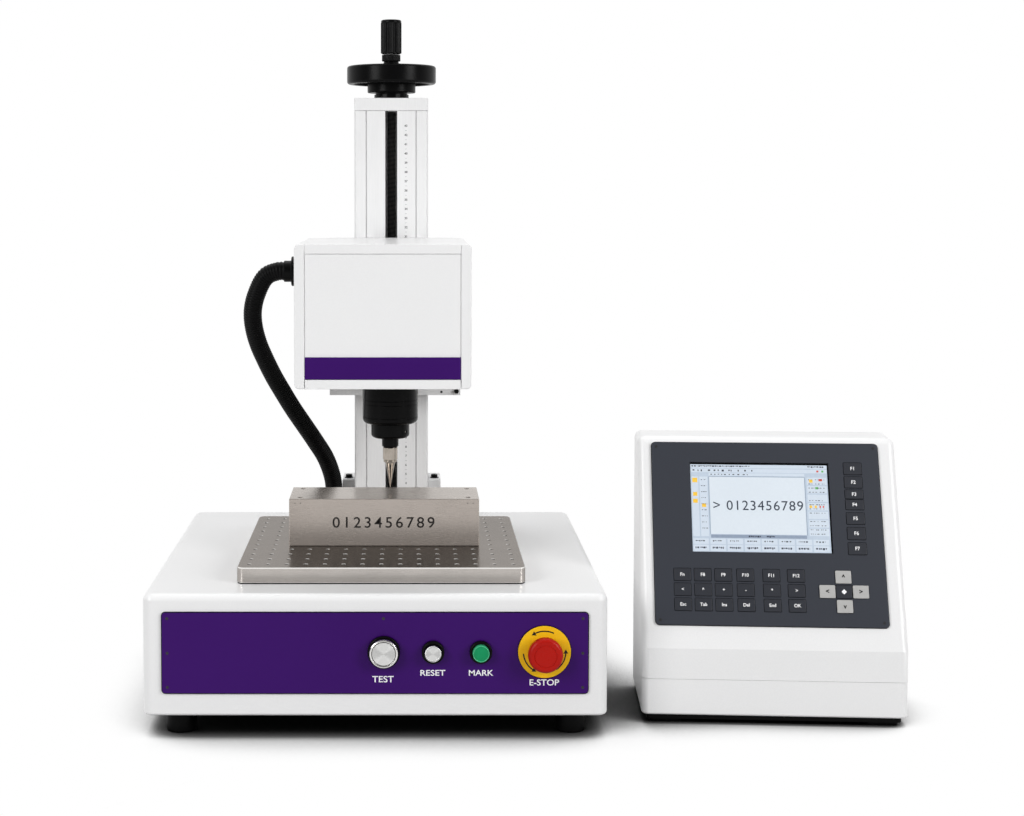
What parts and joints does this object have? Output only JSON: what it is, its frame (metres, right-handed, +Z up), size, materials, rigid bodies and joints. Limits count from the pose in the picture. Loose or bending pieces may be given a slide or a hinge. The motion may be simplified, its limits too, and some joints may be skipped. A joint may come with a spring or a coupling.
{
  "type": "nameplate marking machine",
  "caption": "Benchtop marking machine: a stylus head on a handwheel column over a drilled work plate, with push buttons in the base and a desk controller beside it.",
  "frame": {"origin": "on the floor, under the middle of the footprint of the machine and its controller together", "axes": "+X to the right as seen by the user, +Y to the rear, +Z up; the front faces -Y"},
  "size_m": [0.7246, 0.427, 0.6902],
  "materials": {
    "white_paint": "smooth white enamel, half gloss",
    "white_aluminium": "satin white coating on extruded and milled aluminium",
    "purple_enamel": "smooth deep purple enamel, half gloss",
    "plate_steel": "ground steel with a fine straight grain",
    "machined_metal": "turned bright metal",
    "nickel": "polished nickel with a warm tone",
    "black_plastic": "black moulded plastic, satin",
    "black_metal": "black anodised metal, satin",
    "rubber": "dull black rubber",
    "screw_steel": "dark oiled steel",
    "brass": "plain machined brass",
    "red_plastic": "red moulded plastic, half gloss",
    "yellow_plastic": "yellow plastic ring",
    "green_plastic": "green translucent cap",
    "keypad_film": "dark blue-grey film, fine matt grain",
    "arrow_key_grey": "warm grey plastic",
    "screen": "pale lit display under a clear front"
  },
  "bodies": {
    "base": {"base_housing": "white_paint", "base_floor_plate": "black_metal", "base_foot_front_left": "rubber", "base_foot_front_right": "rubber", "base_foot_rear_left": "rubber", "base_foot_rear_right": "rubber", "front_panel": "purple_enamel", "test_bezel": "black_plastic", "reset_bezel": "black_plastic", "mark_bezel": "black_plastic", "estop_collar": "red_plastic", "estop_legend_ring": "yellow_plastic", "work_plate": "plate_steel", "column_profile": "white_aluminium", "column_cap": "white_aluminium", "column_foot_left": "white_aluminium", "column_foot_right": "white_aluminium", "screw_bearing_top": "black_metal", "screw_bearing_bottom": "black_metal", "hose": "rubber", "base_hose_gland": "black_plastic", "rear_socket_panel": "black_plastic"},
    "head_carriage": {"lift_carriage": "white_aluminium", "lift_nut": "brass", "head_base_plate": "white_paint", "head_top_plate": "white_paint", "head_side_left": "white_paint", "head_side_right": "white_paint", "head_back_plate": "white_aluminium", "head_front_panel": "white_paint", "head_band": "purple_enamel", "head_hose_gland": "black_plastic", "x_rod_front": "machined_metal", "x_rod_rear": "machined_metal", "x_motor": "black_metal"},
    "handwheel_screw": {"lead_screw": "screw_steel", "handwheel": "black_plastic", "grip_bolt": "black_metal"},
    "grip": {"handwheel_grip": "black_plastic"},
    "x_stage": {"x_slide": "black_metal"},
    "x_screw": {"x_drive_screw": "machined_metal"},
    "y_stage": {"y_slide": "black_metal", "stylus_housing": "black_plastic", "stylus_collet": "nickel"},
    "needle": {"stylus_pin": "nickel"},
    "test_button": {"test_cap": "machined_metal"},
    "reset_button": {"reset_cap": "machined_metal"},
    "mark_button": {"mark_cap": "green_plastic"},
    "estop_button": {"estop_knob": "red_plastic"},
    "block": {"work_block": "plate_steel"},
    "console": {"console_cover": "white_paint", "console_tray": "white_paint", "console_keypad": "keypad_film", "console_screen": "screen", "console_foot_left": "rubber", "console_foot_right": "rubber"},
    "key_up": {"arrow_key_up": "arrow_key_grey"},
    "key_down": {"arrow_key_down": "arrow_key_grey"},
    "key_left": {"arrow_key_left": "arrow_key_grey"},
    "key_right": {"arrow_key_right": "arrow_key_grey"}
  },
  "joints": [
    {"name": "handwheel_turn", "type": "hinge", "parent": "base", "child": "handwheel_screw", "pos_m": [-0.13497, 0.1452, 0.6116], "axis": [0, 0, -1], "range_deg": [-180.2, 9360.2]},
    {"name": "head_lift", "type": "slide", "parent": "base", "child": "head_carriage", "axis": [0, 0, 1], "range_m": [-0.0025, 0.13], "deforming": ["hose"]},
    {"name": "grip_spin", "type": "hinge", "parent": "handwheel_screw", "child": "grip", "pos_m": [-0.13497, 0.1102, 0.6532], "axis": [0, 0, 1], "continuous": true},
    {"name": "x_travel", "type": "slide", "parent": "head_carriage", "child": "x_stage", "axis": [1, 0, 0], "range_m": [-0.025, 0.025]},
    {"name": "x_screw_turn", "type": "hinge", "parent": "head_carriage", "child": "x_screw", "pos_m": [-0.11897, -0.0128, 0.417], "axis": [1, 0, 0], "range_deg": [-1802, 1802]},
    {"name": "y_travel", "type": "slide", "parent": "x_stage", "child": "y_stage", "axis": [0, 1, 0], "range_m": [-0.015, 0.015]},
    {"name": "needle_stroke", "type": "slide", "parent": "y_stage", "child": "needle", "axis": [0, 0, -1], "range_m": [0, 0.003], "stiffness_N_per_m": 500, "springref_m": -0.004},
    {"name": "test_press", "type": "slide", "parent": "base", "child": "test_button", "axis": [0, 1, 0], "range_m": [0, 0.0025], "stiffness_N_per_m": 400, "springref_m": -0.003},
    {"name": "reset_press", "type": "slide", "parent": "base", "child": "reset_button", "axis": [0, 1, 0], "range_m": [0, 0.0025], "stiffness_N_per_m": 400, "springref_m": -0.003},
    {"name": "mark_press", "type": "slide", "parent": "base", "child": "mark_button", "axis": [0, 1, 0], "range_m": [0, 0.0025], "stiffness_N_per_m": 400, "springref_m": -0.003},
    {"name": "estop_press", "type": "slide", "parent": "base", "child": "estop_button", "axis": [0, 1, 0], "range_m": [0, 0.004], "stiffness_N_per_m": 800, "springref_m": -0.004},
    {"name": "block_slide", "type": "slide", "parent": "base", "child": "block", "axis": [0, 1, 0], "range_m": [-0.06, 0.05]},
    {"name": "console_slide", "type": "slide", "parent": "base", "child": "console", "axis": [1, 0, 0], "range_m": [-0.02, 0.15]},
    {"name": "arrow_up_press", "type": "slide", "parent": "console", "child": "key_up", "axis": [0.0566, 0.9255, -0.3746], "range_m": [0, 0.0008], "stiffness_N_per_m": 600, "springref_m": -0.001},
    {"name": "arrow_down_press", "type": "slide", "parent": "console", "child": "key_down", "axis": [0.0566, 0.9255, -0.3746], "range_m": [0, 0.0008], "stiffness_N_per_m": 600, "springref_m": -0.001},
    {"name": "arrow_left_press", "type": "slide", "parent": "console", "child": "key_left", "axis": [0.0566, 0.9255, -0.3746], "range_m": [0, 0.0008], "stiffness_N_per_m": 600, "springref_m": -0.001},
    {"name": "arrow_right_press", "type": "slide", "parent": "console", "child": "key_right", "axis": [0.0566, 0.9255, -0.3746], "range_m": [0, 0.0008], "stiffness_N_per_m": 600, "springref_m": -0.001}
  ],
  "couplings": [
    {"joint": "handwheel_turn", "follows": "head_lift", "rad_per_m": 1256.6},
    {"joint": "x_screw_turn", "follows": "x_travel", "rad_per_m": -1256.6}
  ]
}
